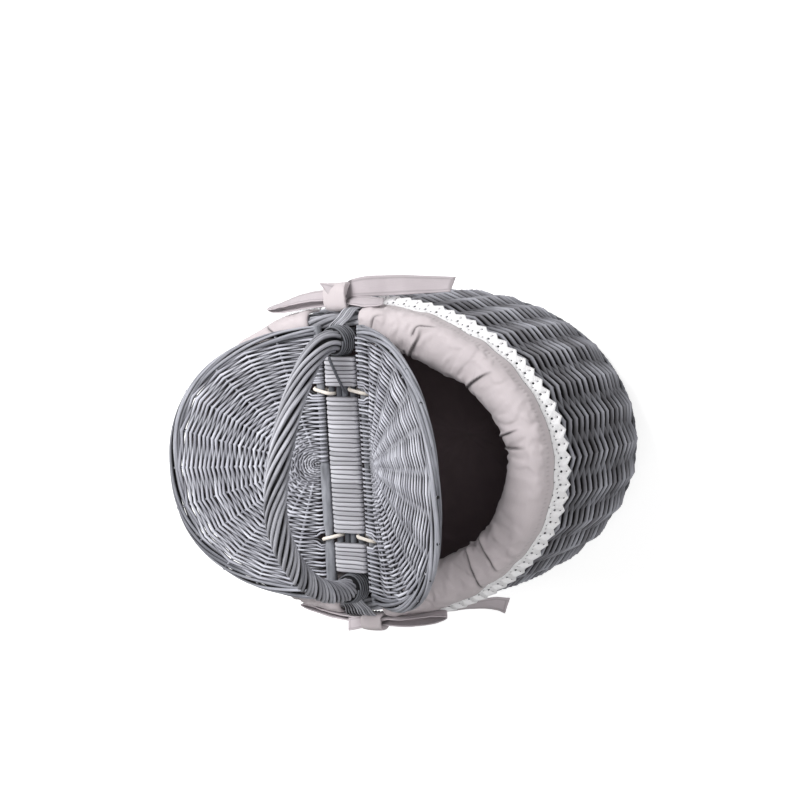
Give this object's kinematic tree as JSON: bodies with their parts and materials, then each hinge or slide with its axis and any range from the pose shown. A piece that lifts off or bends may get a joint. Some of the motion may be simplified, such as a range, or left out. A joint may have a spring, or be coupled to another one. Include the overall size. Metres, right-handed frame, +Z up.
{
  "type": "picnic basket",
  "caption": "Oval woven willow picnic basket with hinged lids on a cross bar, a fixed roped handle and a cloth liner with lace cuffs and ribbon bows.",
  "frame": {"origin": "middle of the base's underside, on the surface that the basket stands on", "axes": "+Z up out of the mouth, +X along the oval towards the lid that stands open, +Y across the oval, along the bar"},
  "size_m": [0.4226, 0.3449, 0.3741],
  "materials": {
    "willow": "grey stained willow, satin",
    "willow_dark": "darker grey stained willow, satin",
    "willow_pale": "pale grey stained willow, satin",
    "cane": "flat split cane, pale grey",
    "cane_cream": "bare cream cane",
    "cotton_pale": "pale warm grey plain weave cotton",
    "cotton_dark": "charcoal plain weave cotton",
    "lace": "white cotton lace"
  },
  "bodies": {
    "basket": {"base_panel": "willow", "base_hoop": "willow_dark", "side_wall": "willow", "rim_border": "willow_dark", "handle_bow": "willow_dark", "handle_binding_front": "willow_dark", "handle_binding_back": "willow_dark", "bar_core": "willow", "bar_wrap_front": "cane", "bar_wrap_middle": "cane", "bar_wrap_back": "cane", "hinge_loop_left_front": "cane_cream", "hinge_loop_left_back": "cane_cream", "hinge_loop_right_front": "cane_cream", "hinge_loop_right_back": "cane_cream", "liner_pouch": "cotton_dark", "cuff_left": "cotton_pale", "cuff_right": "cotton_pale", "lace_left": "lace", "lace_right": "lace", "front_bow_knot": "cotton_pale", "front_bow_loop_left": "cotton_pale", "front_bow_loop_right": "cotton_pale", "front_bow_tail_left": "cotton_pale", "front_bow_tail_right": "cotton_pale", "back_bow_knot": "cotton_pale", "back_bow_loop_left": "cotton_pale", "back_bow_loop_right": "cotton_pale", "back_bow_tail_left": "cotton_pale", "back_bow_tail_right": "cotton_pale"},
    "left_lid": {"left_lid_panel": "willow_pale", "left_lid_border": "willow_pale", "left_lid_hinge_rod": "willow"},
    "right_lid": {"right_lid_panel": "willow_pale", "right_lid_border": "willow_pale", "right_lid_hinge_rod": "willow"}
  },
  "joints": [
    {"name": "left_lid_hinge", "type": "hinge", "parent": "basket", "child": "left_lid", "pos_m": [-0.0246, 0, 0.2449], "axis": [0, 1, 0], "range_deg": [0, 90]},
    {"name": "right_lid_hinge", "type": "hinge", "parent": "basket", "child": "right_lid", "pos_m": [0.0246, 0, 0.2449], "axis": [0, -1, 0], "range_deg": [-39, 51]}
  ]
}
